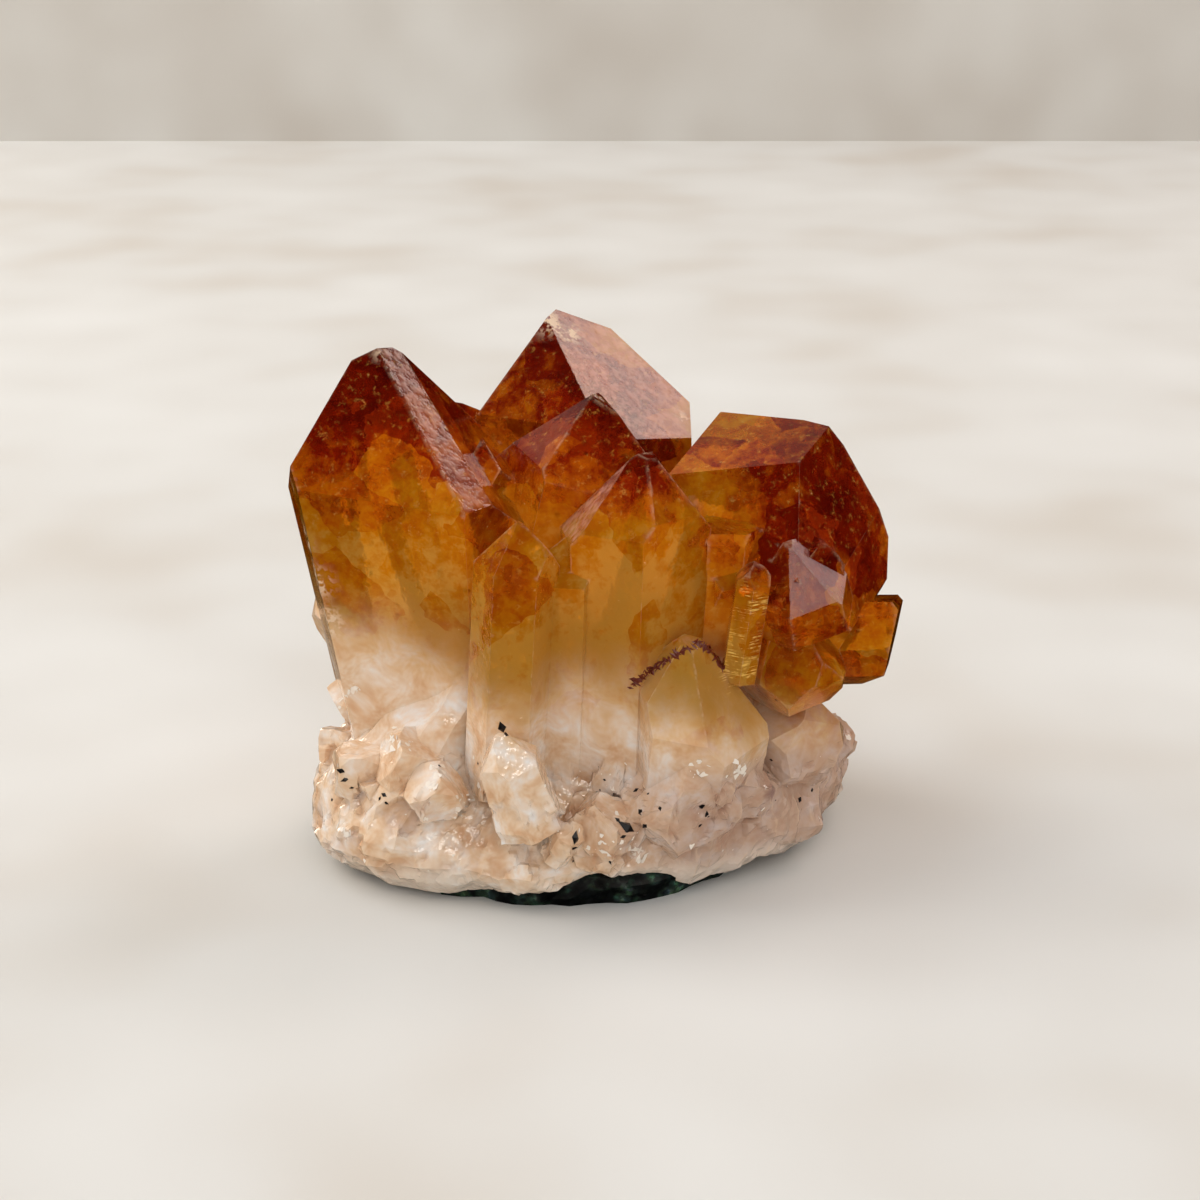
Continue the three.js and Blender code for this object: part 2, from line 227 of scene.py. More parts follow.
def halve_long_edges(points, triangles, longest, rounds=9):
    """Halves every edge over longest(points), a limit in mm at each point, until none is left."""
    for _ in range(rounds):
        limit = longest(points)
        unique, which = np.unique(edges_of(triangles), axis=0, return_inverse=True)
        length = np.linalg.norm(points[unique[:, 0]] - points[unique[:, 1]], axis=1)
        long = length > np.minimum(limit[unique[:, 0]], limit[unique[:, 1]])
        if not long.any():
            break
        middle = np.full(len(unique), -1)
        middle[long] = len(points) + np.arange(long.sum())
        points = np.concatenate([points, points[unique[long]].mean(axis=1)])
        which = which.reshape(-1, 3)
        mids = middle[which]
        # Each triangle is turned so that ab is its longest halved edge, then cut by which edges are halved.
        size = np.where(mids >= 0, length[which], 0)
        turn = size.argmax(axis=1)
        spin = (np.arange(3)[None] + turn[:, None]) % 3
        a, b, c = np.take_along_axis(triangles, spin, 1).T
        ab, bc, ca = np.take_along_axis(mids, spin, 1).T
        whole = ab < 0
        only_ab = (ab >= 0) & (bc < 0) & (ca < 0)
        ab_bc = (ab >= 0) & (bc >= 0) & (ca < 0)
        ab_ca = (ab >= 0) & (bc < 0) & (ca >= 0)
        all_three = (ab >= 0) & (bc >= 0) & (ca >= 0)
        triangles = np.concatenate([
            triangles[whole],
            *[np.stack(t, 1)[only_ab] for t in ((a, ab, c), (ab, b, c))],
            *[np.stack(t, 1)[ab_bc] for t in ((a, ab, c), (ab, b, bc), (ab, bc, c))],
            *[np.stack(t, 1)[ab_ca] for t in ((a, ab, ca), (ab, b, c), (ab, c, ca))],
            *[np.stack(t, 1)[all_three] for t in ((a, ab, ca), (ab, b, bc), (ca, bc, c), (ab, bc, ca))],
        ])
    return points, triangles


def normals_of(points, triangles):
    """Each point's outward direction: the mean of its triangles' directions, weighted by their areas."""
    a, b, c = (points[triangles[:, i]] for i in range(3))
    face = np.cross(b - a, c - a)
    total = np.zeros_like(points)
    for i in range(3):
        np.add.at(total, triangles[:, i], face)
    return total / np.maximum(np.linalg.norm(total, axis=1), 1e-12)[:, None]


def piece(name, points, triangles, values=None, smooth_under=None):
    """A mesh object from points in mm. values are numbers kept at its points for the material to read."""
    mesh = bpy.data.meshes.new(name)
    mesh.from_pydata((points * MM).tolist(), [], triangles.tolist())
    for key, numbers in (values or {}).items():
        attribute = mesh.attributes.new(key, "FLOAT", "POINT")
        attribute.data.foreach_set("value", np.asarray(numbers, dtype=np.float32))
    mesh.update()
    if smooth_under is not None:
        mesh.shade_smooth()
        mesh.set_sharp_from_angle(angle=math.radians(smooth_under))
    made = bpy.data.objects.new(name, mesh)
    scene.collection.objects.link(made)
    print(name, len(points), "points", len(triangles), "triangles")
    return made


# %% [markdown]
# ## Where the quartz is clear, milky and dark
# Heat and growth set the colours. Each tip is darkest, and the colour thins to gold below it. The milky part
# starts about half way down, lower in the middle and on the right than on the left.

# %% Tips and zones
# Each tip: where it is in mm, how far its dark colour reaches in mm, and how dark it is.
TIPS = {
    "left giant": ((-23.6, 1.0, 60.0), 32, 1.0),
    "back giant": ((-7.4, 12.0, 59.0), 20, 0.85),
    "middle": ((0.3, 1.0, 53.0), 22, 1.0),
    "front centre": ((4.0, -8.0, 49.7), 14, 0.8),
    "right giant": ((27.0, -2.0, 41.0), 25, 1.0),
    "lower left": ((-8.6, -14.0, 43.2), 16, 0.45),
    "far left": ((-17.0, 16.0, 48.0), 16, 0.8),
    "far middle": ((3.0, 23.5, 43.0), 14, 0.8),
    "far right": ((19.0, 19.0, 40.0), 14, 0.8),
}


def heat_at(p):
    """0 in gold quartz, 1 at the darkest tips: the heat that each tip lends falls with distance."""
    warmth = [most * (1 - np.linalg.norm(p - np.array(tip), axis=1) / reach)
              for tip, reach, most in TIPS.values()]
    return np.clip(np.max(warmth, axis=0) + 0.06 * soft(p, 5, 3) + 0.04 * soft(p, 2, 4), 0, 1)


# How high the milky quartz reaches, at places from left to right, and how gently it ends. All in mm.
LEVEL_X = [-34, -16, -8, 4, 14, 24, 36]
LEVEL_Z = [28.5, 28, 26, 25, 23.5, 18, 14]
MILK_FADE = 6.5


def milkiness(p):
    """0 in clear quartz, 1 in milky quartz: a level that falls to the right, blurred by soft clouds."""
    x, y, z = p.T
    level = np.interp(x, LEVEL_X, LEVEL_Z)
    level = level - 2.0 * step(0, -14, y) + 2.6 * soft(p, 8, 5) + 1.2 * soft(p, 3, 6)
    return step(MILK_FADE, -MILK_FADE, z - level)


# %% [markdown]
# ## The crystal skin
# One skin stands for the whole cluster, because it grew as one. The points keep their exact flat faces. The
# milky part gets chips and bumps: nearly all are under half a millimetre high, and none is over 0.9 mm. Sharp
# edges that rise are marked, so that the finish can show where they are bruised and paint a highlight along
# them.


# %% Crystal skin
def on_sharp_edges(points, triangles, least, steepest_level=0.35):
    """1 at points where two faces meet outwards, at more than least degrees, along a rising edge."""
    a, b, c = (points[triangles[:, i]] for i in range(3))
    normal = np.cross(b - a, c - a)
    normal /= np.maximum(np.linalg.norm(normal, axis=1), 1e-12)[:, None]
    edges = edges_of(triangles)
    owner = np.repeat(np.arange(len(triangles)), 3)
    order = np.lexsort((edges[:, 1], edges[:, 0]))
    edges, owner = edges[order], owner[order]
    pair = (edges[:-1] == edges[1:]).all(axis=1)
    bend = (normal[owner[:-1]] * normal[owner[1:]]).sum(1) < math.cos(math.radians(least))
    middle = (a + b + c) / 3
    outwards = ((middle[owner[1:]] - middle[owner[:-1]]) * normal[owner[:-1]]).sum(1) < 0
    run = points[edges[:-1, 1]] - points[edges[:-1, 0]]
    rising = np.abs(run[:, 2]) > steepest_level * np.linalg.norm(run, axis=1)
    marked = np.zeros(len(points))
    marked[edges[:-1][pair & bend & outwards & rising].reshape(-1)] = 1
    return marked


# %% Frosted faces and marked places
# Faces that grew with a fine etched relief, which scatters light like frosted glass, and that also get a
# painted pink sheen, a reflection picked by the way they face: the direction that each one faces, and how
# frosted it is.
FROST_AND_SHEEN_FACES = [
    ((0.42, -0.51, 0.75), 0.18),
    ((0.38, -0.45, 0.81), 1.0),
    ((-0.50, -0.43, 0.75), 0.25),
    ((-0.76, -0.14, 0.63), 1.2),
    ((0.15, -0.93, 0.34), 0.45),
    ((0.65, -0.41, 0.65), 0.45),
]
FROST_AND_SHEEN_NONE, FROST_AND_SHEEN_FULL = math.cos(math.radians(9)), math.cos(math.radians(4))


def frost_and_sheen_at(outward):
    """How frosted each point is, and how strong its painted sheen: full within 4 degrees of a frosted face's
    direction, none beyond 9.
    """
    near = []
    for way, amount in FROST_AND_SHEEN_FACES:
        facing = outward @ (np.array(way) / np.linalg.norm(way))
        near.append(amount * step(FROST_AND_SHEEN_NONE, FROST_AND_SHEEN_FULL, facing))
    return np.max(near, axis=0)


# Tips and corners that are bruised white: centre in mm, reach in mm.
BRUISED = [
    ((-5.9, 13.2, 58.6), 3.2), ((-24.1, 0.8, 57.6), 1.5), ((0.0, 0.6, 53.0), 1.6), ((4.4, -8.4, 49.4), 1.4),
    ((-3.5, 13.0, 57.0), 2.4), ((24.6, -4.6, 45.4), 1.4), ((-34.6, -3.0, 43.5), 1.6),
    ((9.8, 8.0, 48.5), 1.8), ((-32.0, -5.0, 38.0), 3.0), ((-31.2, -5.6, 33.5), 3.4),
    ((-30.4, -6.0, 28.5), 3.2),
]

# Where the milky quartz is violet: centre in mm, reach in mm.
VIOLET = [((22.6, -13.6, 14.4), 3.4), ((20.0, -14.0, 11.0), 2.4)]

# Places with a painted glint, where the quartz catches the light: centre in mm, reach in mm.
PAINTED_GLINTS = [
    ((15.8, -14.6, 34.0), 3.6), ((15.2, -14.4, 29.0), 3.8), ((15.2, -14.2, 25.5), 3.2),
    ((19.5, -13.6, 27.0), 2.6),
]


def near_places(p, places):
    """1 at each place, falling to 0 at its reach."""
    near = [step(reach, 0.25 * reach, np.linalg.norm(p - np.array(at), axis=1)) for at, reach in places]
    return np.max(near, axis=0)


# %% Dress the skin
# The base is chipped, so it has the finer triangles. All in mm, but for the angle.
CHIPPED_EDGE, FLAT_EDGE, FLAT_FROM = 0.88, 1.4, 18
NO_CHIPS, ALL_CHIPS = 17, 12
SHARP_DEGREES = 12
LEFT_GREY, RIGHT_GREY = -6, 16


def longest_edge(p):
    """The longest edge allowed at each point."""
    return np.where(p[:, 2] < FLAT_FROM, CHIPPED_EDGE, FLAT_EDGE)


points, triangles = halve_long_edges(*skin_of("crystal_cluster"), longest_edge)
outward = normals_of(points, triangles)
height = points[:, 2]
milk = milkiness(points)
coarse = step(NO_CHIPS, ALL_CHIPS, height) * step(0.4, 2.0, height)
relief = 0.42 * chips(points, 3.8, 11) + 0.2 * chips(points, 1.7, 12) + 0.16 * soft(points, 2.6, 13)
skin_values = {
    "milk": milk,
    "warmth": heat_at(points),
    "edge": on_sharp_edges(points, triangles, SHARP_DEGREES),
    "grey": step(LEFT_GREY, RIGHT_GREY, points[:, 0] + 3 * soft(points, 9, 14)) * step(20, 13, height),
    "rim": step(5.5, 2.0, height + 1.5 * soft(points, 4, 15)),
    "frost_and_sheen": frost_and_sheen_at(outward) * step(14, 22, height),
    "painted_glint": near_places(points, PAINTED_GLINTS),
    "bruised": near_places(points, BRUISED),
    "violet": near_places(points, VIOLET),
    "hollow_shade": coarse * step(0.05, -0.4, relief),
}
points = points + outward * (coarse * relief)[:, None]
crystal_skin = piece("crystal_skin", points, triangles, skin_values, smooth_under=20)

# %% [markdown]
# ### Finish: citrine, natural growth faces
# Quartz bends light by 1.544. Amber is in the stone itself, so it is a plain absorption inside the skin.
# Fine clouds inside scatter a part of the light back: darkest red-brown at the tips, gold lower down, and
# cream where the quartz is milky. The recipe mixes the colours first, then says how clear and how rough each
# place is.

# %% Citrine: what the skin tells it
citrine, tree = new_material("citrine_quartz")
place = node(tree, "TexCoord").outputs["Object"]
milky, warm, edge_wear_and_glint, greyed, rimmed, frost_and_sheen_mask, painted_glint_places, chipped, violet, hollow_shade_mask = (
    node(tree, "Attribute", attribute_name=name).outputs["Fac"] for name in skin_values)

# %% [markdown]
# Amber grew in zones, flat patches of darker and lighter stone with wavering borders. Two sets of cells,
# about 8 and 2 mm across, stand for them, and a cloud noise mottles them.

# %% Citrine: amber zones
WAVER_SIZE, WAVER = 3.33 * MM, 3 * MM
LARGE_ZONE, SMALL_ZONE, MOTTLE_SIZE = 7.69 * MM, 2.38 * MM, 2.4 * MM

wavering = node(tree, "TexNoise", {"Vector": place, "Scale": 1 / WAVER_SIZE, "Detail": 2.0}).outputs["Color"]
wander = node(tree, "VectorMath", (wavering, (WAVER, WAVER, WAVER)), **TIMES)
warped = node(tree, "VectorMath", (place, wander), **PLUS)
large_cells = node(tree, "TexVoronoi", {"Vector": warped, "Scale": 1 / LARGE_ZONE}).outputs["Color"]
small_cells = node(tree, "TexVoronoi", {"Vector": warped, "Scale": 1 / SMALL_ZONE}).outputs["Color"]
large_zone = node(tree, "SeparateColor", {"Color": large_cells}).outputs["Red"]
small_zone = node(tree, "SeparateColor", {"Color": small_cells}).outputs["Red"]
large_shift = node(tree, "MapRange", (large_zone, 0.0, 1.0, -0.13, 0.13), **SMOOTH)
small_shift = node(tree, "MapRange", (small_zone, 0.0, 1.0, -0.05, 0.05), **SMOOTH)
zone_shift = node(tree, "Math", (large_shift, small_shift), **PLUS)
mottle = node(tree, "TexNoise", {"Vector": place, "Scale": 1 / MOTTLE_SIZE, "Detail": 3.0, "Roughness": 0.7})
mottle_shift = node(tree, "MapRange", (mottle, 0.3, 0.7, -0.14, 0.14), **SMOOTH)
mottled_warmth = node(tree, "Math", (warm, mottle_shift), **PLUS)
zoned_warmth = node(tree, "Math", (mottled_warmth, zone_shift), **PLUS)
amber = node(tree, "ValToRGB", (zoned_warmth,))
set_stops(amber, [(0.0, "#F4B444"), (0.16, "#E69412"), (0.42, "#CC6408"), (0.64, "#8E1E04"),
                  (1.0, "#540804")])

# %% [markdown]
# Specks of gold, under a millimetre across, are painted glints, the light that tiny healed cracks send back.
# A few places get painted glints in slanted stripes, where striated faces send the light straight back.

# %% Citrine: painted gold glints
SPECK_SIZE, STRIPE_SIZE = 0.9 * MM, 3 * MM
STRIPE_SLANT, STRIPE_CLOSENESS = -0.85, 16.0

fine_cloud = node(tree, "TexNoise", {"Vector": place, "Scale": 1 / SPECK_SIZE, "Detail": 3.0,
                                     "Roughness": 0.75, "Distortion": 0.3})
# Painted glints: the brighter specks of the fine cloud turn pale gold.
glint_speck_share = node(tree, "MapRange", (fine_cloud, 0.56, 0.72, 0.0, 0.4), **SMOOTH)
amber_with_painted_specks = node(tree, "Mix", {0: glint_speck_share, 6: amber, 7: linear("#FFC45A")}, **COLOURS)
slanted = node(tree, "Mapping", {"Vector": place, "Rotation": (0.0, STRIPE_SLANT, 0.0),
                                 "Scale": (1.0, 1.0, STRIPE_CLOSENESS)})
stripes = node(tree, "TexNoise", {"Vector": slanted, "Scale": 1 / STRIPE_SIZE, "Detail": 2.0,
                                  "Roughness": 0.7})
# Painted glints in slanted stripes, at the listed places.
bright_stripe = node(tree, "MapRange", (stripes, 0.46, 0.6), **SMOOTH)
bright_patch = node(tree, "MapRange", (mottle, 0.44, 0.6), **SMOOTH)
painted_glint_stripe = node(tree, "Math", (painted_glint_places, bright_stripe), **TIMES)
painted_glint_share = node(tree, "Math", (painted_glint_stripe, bright_patch), **TIMES)
amber_with_painted_glints = node(tree, "Mix", {0: painted_glint_share, 6: amber_with_painted_specks, 7: linear("#FFD870")}, **COLOURS)

# %% [markdown]
# Milky quartz is cream and white in clouds. A painted shade makes it browner in the hollows of its chips. It
# is pinkish grey on the right, violet in one corner, and white with rust along its lower rim.

# %% Citrine: milky base
CLOUD_SIZE = 4 * MM

cloud = node(tree, "TexNoise", {"Vector": place, "Scale": 1 / CLOUD_SIZE, "Detail": 3.0, "Roughness": 0.7,
                                "Distortion": 0.4})
cream = node(tree, "ValToRGB", (cloud,))
set_stops(cream, [(0.32, "#E6B68C"), (0.46, "#F4D2AE"), (0.58, "#FCE6D0"), (0.7, "#FFF8F0")])
# Painted shade: the sunken hollows of the chips are darkened brown.
painted_hollow_shade = node(tree, "Math", (hollow_shade_mask, 0.4), **TIMES)
cream_with_hollow_shade = node(tree, "Mix", {0: painted_hollow_shade, 6: cream, 7: linear("#B8805A")}, **COLOURS)
grey_share = node(tree, "Math", (greyed, 0.65), **TIMES)
pinkish = node(tree, "Mix", {0: grey_share, 6: cream_with_hollow_shade, 7: linear("#B89484")}, **COLOURS)
violet_patch = node(tree, "MapRange", (cloud, 0.35, 0.6, 0.9, 0.3), **SMOOTH)
violet_share = node(tree, "Math", (violet, violet_patch), **TIMES)
violet_quartz = node(tree, "Mix", {0: violet_share, 6: pinkish, 7: linear("#6E4854")}, **COLOURS)
white_share = node(tree, "Math", (rimmed, 0.6), **TIMES)
whitened = node(tree, "Mix", {0: white_share, 6: violet_quartz, 7: linear("#FFF2E2")}, **COLOURS)
rust = node(tree, "TexNoise", {"Vector": place, "Scale": 1 / CLOUD_SIZE, "Detail": 2.0, "Roughness": 0.7})
rust_patch = node(tree, "MapRange", (rust, 0.66, 0.74), **SMOOTH)
rust_share = node(tree, "Math", (rust_patch, rimmed), **TIMES)
stained = node(tree, "Mix", {0: rust_share, 6: whitened, 7: linear("#A4622A")}, **COLOURS)
body = node(tree, "Mix", {0: milky, 6: amber_with_painted_glints, 7: stained}, **COLOURS)

# %% [markdown]
# On top come the marks of growth and wear, with painted light among them: a pink frost in feathers on the
# etched faces, partly a painted sheen, pale bruises along the edges, partly a painted highlight, and at the
# tips, and small pale flecks, which are painted glints.

# %% Citrine: frost, bruises, and painted sheen, highlights and glints
FEATHER_SIZE, BRUISE_SIZE = 2.2 * MM, 1.2 * MM

feathered = node(tree, "Mapping", {"Vector": place, "Rotation": (0.0, 0.6, 0.5), "Scale": (2.6, 2.6, 0.5)})
feathers = node(tree, "TexNoise", {"Vector": feathered, "Scale": 1 / FEATHER_SIZE, "Detail": 2.0,
                                   "Roughness": 0.55})
feather_share = node(tree, "MapRange", (feathers, 0.36, 0.66, 0.45, 1.0), **SMOOTH)
frost_and_sheen_share = node(tree, "Math", (frost_and_sheen_mask, feather_share), **TIMES)
# Painted sheen: the frost's pink tint stands partly for the panels that these faces mirror.
frost_and_sheen_tint = node(tree, "Math", (frost_and_sheen_share, 0.6), **TIMES)
frost_and_sheen_tinted = node(tree, "Mix", {0: frost_and_sheen_tint, 6: body, 7: linear("#DCA48C")}, **COLOURS)
patchy = node(tree, "TexNoise", {"Vector": place, "Scale": 1 / BRUISE_SIZE, "Detail": 2.0, "Roughness": 0.7})
# The pale edge lines are partly real bruises and partly a painted highlight along the edges.
edge_wear_and_glint_band = node(tree, "MapRange", (edge_wear_and_glint, 0.5, 0.95), **SMOOTH)
wear_and_glint_patch = node(tree, "MapRange", (patchy, 0.4, 0.6, 0.1, 0.8), **SMOOTH)
wear_and_edge_glint = node(tree, "Math", (edge_wear_and_glint_band, wear_and_glint_patch), **TIMES)
faint_wear_and_edge_glint = node(tree, "Math", (wear_and_edge_glint, 0.4), **TIMES)
crushed_patch = node(tree, "MapRange", (patchy, 0.42, 0.58), **SMOOTH)
crushed = node(tree, "Math", (chipped, crushed_patch), **TIMES)
bruise_and_edge_glint = node(tree, "Math", (faint_wear_and_edge_glint, crushed), **LARGER)
# Painted glints: the brightest specks of the fine cloud turn pale.
glint_fleck = node(tree, "MapRange", (fine_cloud, 0.72, 0.78), **SMOOTH)
faint_glint_fleck = node(tree, "Math", (glint_fleck, 0.7), **TIMES)
wear_and_glint_marks = node(tree, "Math", (faint_glint_fleck, bruise_and_edge_glint), **LARGER)
marked = node(tree, "Mix", {0: wear_and_glint_marks, 6: frost_and_sheen_tinted, 7: linear("#F0D0AC")}, **COLOURS)

# %% [markdown]
# Last, how the stone takes the light. Amber lets most of it through, milky quartz little, and marks and
# frost scatter it. The growth faces are as smooth as glass, the base is a little rough, and the frosted faces
# are ribbed.

# %% Citrine: clarity and relief
QUARTZ_IOR = 1.544
ABSORBED_PER_M = 30.0
RELIEF = 0.5 * MM

frost_and_sheen_scatter = node(tree, "Math", (frost_and_sheen_share, 0.5), **TIMES)
scattered = node(tree, "Math", (wear_and_glint_marks, frost_and_sheen_scatter), **LARGER)
clear_share = node(tree, "MapRange", (milky, 0.0, 1.0, 0.6, 0.06), **SMOOTH)
unmarked = node(tree, "MapRange", (scattered, 0.0, 1.0, 1.0, 0.25), **SMOOTH)
outside_painted_glints = node(tree, "MapRange", (painted_glint_share, 0.0, 1.0, 1.0, 0.3), **SMOOTH)
clear_unmarked = node(tree, "Math", (clear_share, unmarked), **TIMES)
see_through = node(tree, "Math", (clear_unmarked, outside_painted_glints), **TIMES)
milk_relief = node(tree, "MapRange", (milky, 0.4, 1.0, 0.5, 1.6), **SMOOTH)
patchy_relief = node(tree, "Math", (patchy, milk_relief), **TIMES)
outside_frost_and_sheen = node(tree, "Math", (1.0, frost_and_sheen_mask), operation="SUBTRACT")
milk_bumps = node(tree, "Math", (patchy_relief, outside_frost_and_sheen), **TIMES)
rib_height = node(tree, "Math", (frost_and_sheen_mask, 0.5), **TIMES)
ribs = node(tree, "Math", (feathers, rib_height, milk_bumps), operation="MULTIPLY_ADD")
bump = node(tree, "Bump", {"Height": ribs, "Strength": 0.25, "Distance": RELIEF})
milk_roughness = node(tree, "MapRange", (milky, 0.3, 1.0, 0.04, 0.14), **SMOOTH)
mark_roughness = node(tree, "Math", (scattered, 0.35), **TIMES)
roughness = node(tree, "Math", (milk_roughness, mark_roughness), **LARGER)
stone = node(tree, "BsdfPrincipled", {
    "Base Color": marked,
    "Roughness": roughness,
    "IOR": QUARTZ_IOR,
    "Transmission Weight": see_through,
    "Normal": bump,
})
amber_depth = node(tree, "VolumeAbsorption", {"Color": linear("#F0A83C"), "Density": ABSORBED_PER_M})
node(tree, "OutputMaterial", {"Surface": stone, "Volume": amber_depth})
print("citrine recipe:", len(tree.nodes), "nodes")

crystal_skin.data.materials.append(citrine)
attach(crystal_skin, "root")
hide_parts("crystal_cluster")

# %% [markdown]
# ## Healed cracks inside
# Natural citrine is full of small cracks that healed as it grew. They lie inside as thin flakes, and flash
# gold where they turn light back. Each flake is a little fan with an uneven rim, some way under the skin and
# cut to the room that it has there. The smallest lie just under the faces, as pale sparks, painted glints.


# %% Flakes
def flakes(name, centres, normals, sizes, corners=6, seed=31):
    """Thin uneven fans, one at each centre, square to its normal."""
    random = np.random.default_rng(seed)
    side = np.cross(normals, random.normal(size=normals.shape))
    side /= np.linalg.norm(side, axis=1)[:, None]
    other = np.cross(normals, side)
    uneven = random.uniform(-0.3, 0.3, (len(centres), corners))
    angle = (np.arange(corners) + uneven) * 2 * math.pi / corners
    reach = sizes[:, None] * random.uniform(0.45, 1.0, angle.shape)
    stretch = random.uniform(0.25, 1.0, (len(centres), 1))
    rims = (centres[:, None] + side[:, None] * (reach * np.cos(angle))[..., None]
            + other[:, None] * (reach * stretch * np.sin(angle))[..., None])
    every = np.concatenate([centres[:, None], rims], axis=1)
    start = np.arange(len(centres))[:, None] * (corners + 1)
    k = np.arange(corners)
    fans = np.stack([start + 0 * k, start + 1 + k, start + 1 + (k + 1) % corners], -1)
    return piece(name, every.reshape(-1, 3), fans.reshape(-1, 3))


def unit(vectors):
    """Each row scaled to length 1."""
    return vectors / np.linalg.norm(vectors, axis=1)[:, None]


skin_tree = BVHTree.FromPolygons((points * MM).tolist(), triangles.tolist())


def room_at(places):
    """How far each place is from the skin in mm, or 0 where it lies outside the quartz."""
    room = []
    for place_mm in places:
        at, way, _, distance = skin_tree.find_nearest(Vector(place_mm * MM))
        inside = (Vector(place_mm * MM) - at).dot(way) < 0
        room.append(distance / MM if inside else 0.0)
    return np.array(room)


def flakes_inside(name, centres, normals, sizes):
    """Flakes cut down to the room that each has, so that none comes through the skin."""
    room = room_at(centres)
    kept = room > 0.05
    return flakes(name, centres[kept], normals[kept], np.minimum(sizes[kept], 0.9 * room[kept]))


# %% Healed cracks
FLAKES, FLAKE_DEPTHS = 2600, (0.15, 1.8)
CLEAR_FROM = 22

random = np.random.default_rng(7)
clear = np.flatnonzero((milk < 0.5) & (points[:, 2] > CLEAR_FROM))
chosen = random.choice(clear, FLAKES, replace=False)
depth = random.uniform(*FLAKE_DEPTHS, (FLAKES, 1))
healed_cracks = flakes_inside("healed_cracks", points[chosen] - outward[chosen] * depth,
                              unit(random.normal(size=(FLAKES, 3))), 0.1 + 0.8 * random.random(FLAKES) ** 4)

# %% Sparks
SPARKS, SPARK_DEPTHS = 350, (0.1, 0.6)

chosen = random.choice(clear, SPARKS, replace=False)
depth = random.uniform(*SPARK_DEPTHS, (SPARKS, 1))
painted_glint_sparks = flakes_inside("painted_glint_sparks", points[chosen] - outward[chosen] * depth,
                       unit(outward[chosen] + random.normal(0, 0.6, (SPARKS, 3))),
                       0.06 + 0.2 * random.random(SPARKS) ** 2)

# %% Crack finishes
# A spark is a pale gold speck, a painted glint. A healed crack is half a mirror, tinted by the amber around
# it.
plain_finish(painted_glint_sparks, "crack_spark_painted_glint", {"Base Color": linear("#FFDC9A"), "Roughness": 0.3})
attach(painted_glint_sparks, "root")
plain_finish(healed_cracks, "healed_crack_gold",
             {"Base Color": linear("#FFD06A"), "Metallic": 0.5, "Roughness": 0.3})
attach(healed_cracks, "root")

# %% [markdown]
# ## Dark grains on the skin
# Specks of black iron ore and rust sit in the milky base, and a dark red one fills a crack. Each is a small
# uneven lump, half sunk in the skin where a sight line from the camera meets it.

# %% Sight lines
FRAME_PIXELS = 1200
FOCAL_PIXELS = LENS_MM / SENSOR_MM * FRAME_PIXELS


def sight_line(u, v):
    """The direction from the eye through a pixel of the 1200 pixel frame."""
    right = np.array([1.0, 0.0, 0.0])
    up = np.array([0.0, math.sin(ELEVATION), math.cos(ELEVATION)])
    ahead = np.array([0.0, math.cos(ELEVATION), -math.sin(ELEVATION)])
    way = ahead * FOCAL_PIXELS + right * (u - FRAME_PIXELS / 2) - up * (v - FRAME_PIXELS / 2)
    return way / np.linalg.norm(way)


def seen_at(u, v):
    """Where the sight line through a pixel meets the skin, and which way the skin faces there."""
    hit, normal, _, _ = skin_tree.ray_cast(Vector(EYE), Vector(sight_line(u, v)))
    return (None, None) if hit is None else (np.array(hit) / MM, np.array(normal))


def lumps(name, places, seed):
    """Small uneven lumps. places are (centre in mm, normal, radius in mm, how much longer than wide)."""
    random = np.random.default_rng(seed)
    shape = np.array([[1, 0, 0], [-1, 0, 0], [0, 1, 0], [0, -1, 0], [0, 0, 1], [0, 0, -1]], dtype=float)
    upper = [[0, 2, 4], [2, 1, 4], [1, 3, 4], [3, 0, 4]]
    lower = [[2, 0, 5], [1, 2, 5], [3, 1, 5], [0, 3, 5]]
    sides = np.array(upper + lower)
    every, faces = [], []
    for centre, normal, radius, longer in places:
        side = unit(np.cross(normal, random.normal(size=3))[None])[0]
        axes = np.stack([side * longer, np.cross(normal, side), normal * 0.6]) * radius
        faces.append(sides + 6 * len(every))
        every.append(centre + (shape * random.uniform(0.6, 1.2, (6, 1))) @ axes)
    return piece(name, np.concatenate(every), np.concatenate(faces))


# %% Grains
# Black specks: where each is seen in the frame, in pixels, and its radius in mm.
BLACK_SPECKS = [
    (502, 728, 0.55), (506, 734, 0.3), (575, 838, 0.6), (573, 848, 0.5), (628, 828, 0.8), (624, 836, 0.35),
    (636, 790, 0.3), (640, 812, 0.35), (660, 808, 0.3), (345, 780, 0.3), (341, 771, 0.35), (352, 788, 0.2),
    (384, 795, 0.3), (386, 803, 0.2), (515, 900, 0.35), (776, 700, 0.2), (800, 800, 0.35), (812, 790, 0.25),
    (332, 800, 0.2), (702, 806, 0.5), (706, 814, 0.3), (700, 826, 0.2), (610, 862, 0.2), (645, 826, 0.3),
    (618, 820, 0.25),
]
# The line of the red crack in the frame, in pixels, and the grains on each of its stretches.
RED_CRACK = [(630, 686), (648, 672), (672, 656), (700, 643), (712, 652), (724, 668)]
CRACK_GRAINS, CRACK_WANDER = 22, 1.5
SPECK_COUNT = 90

random = np.random.default_rng(12)
specks = [(*seen_at(u, v), size, 1.6) for u, v, size in BLACK_SPECKS]
milky_low = np.flatnonzero((milk > 0.8) & (points[:, 2] > 2) & (points[:, 2] < 16))
for i in random.choice(milky_low, SPECK_COUNT, replace=False):
    specks.append((points[i], outward[i], random.uniform(0.05, 0.2), 1.8))
black_grains = lumps("black_grains", [speck for speck in specks if speck[0] is not None], 3)

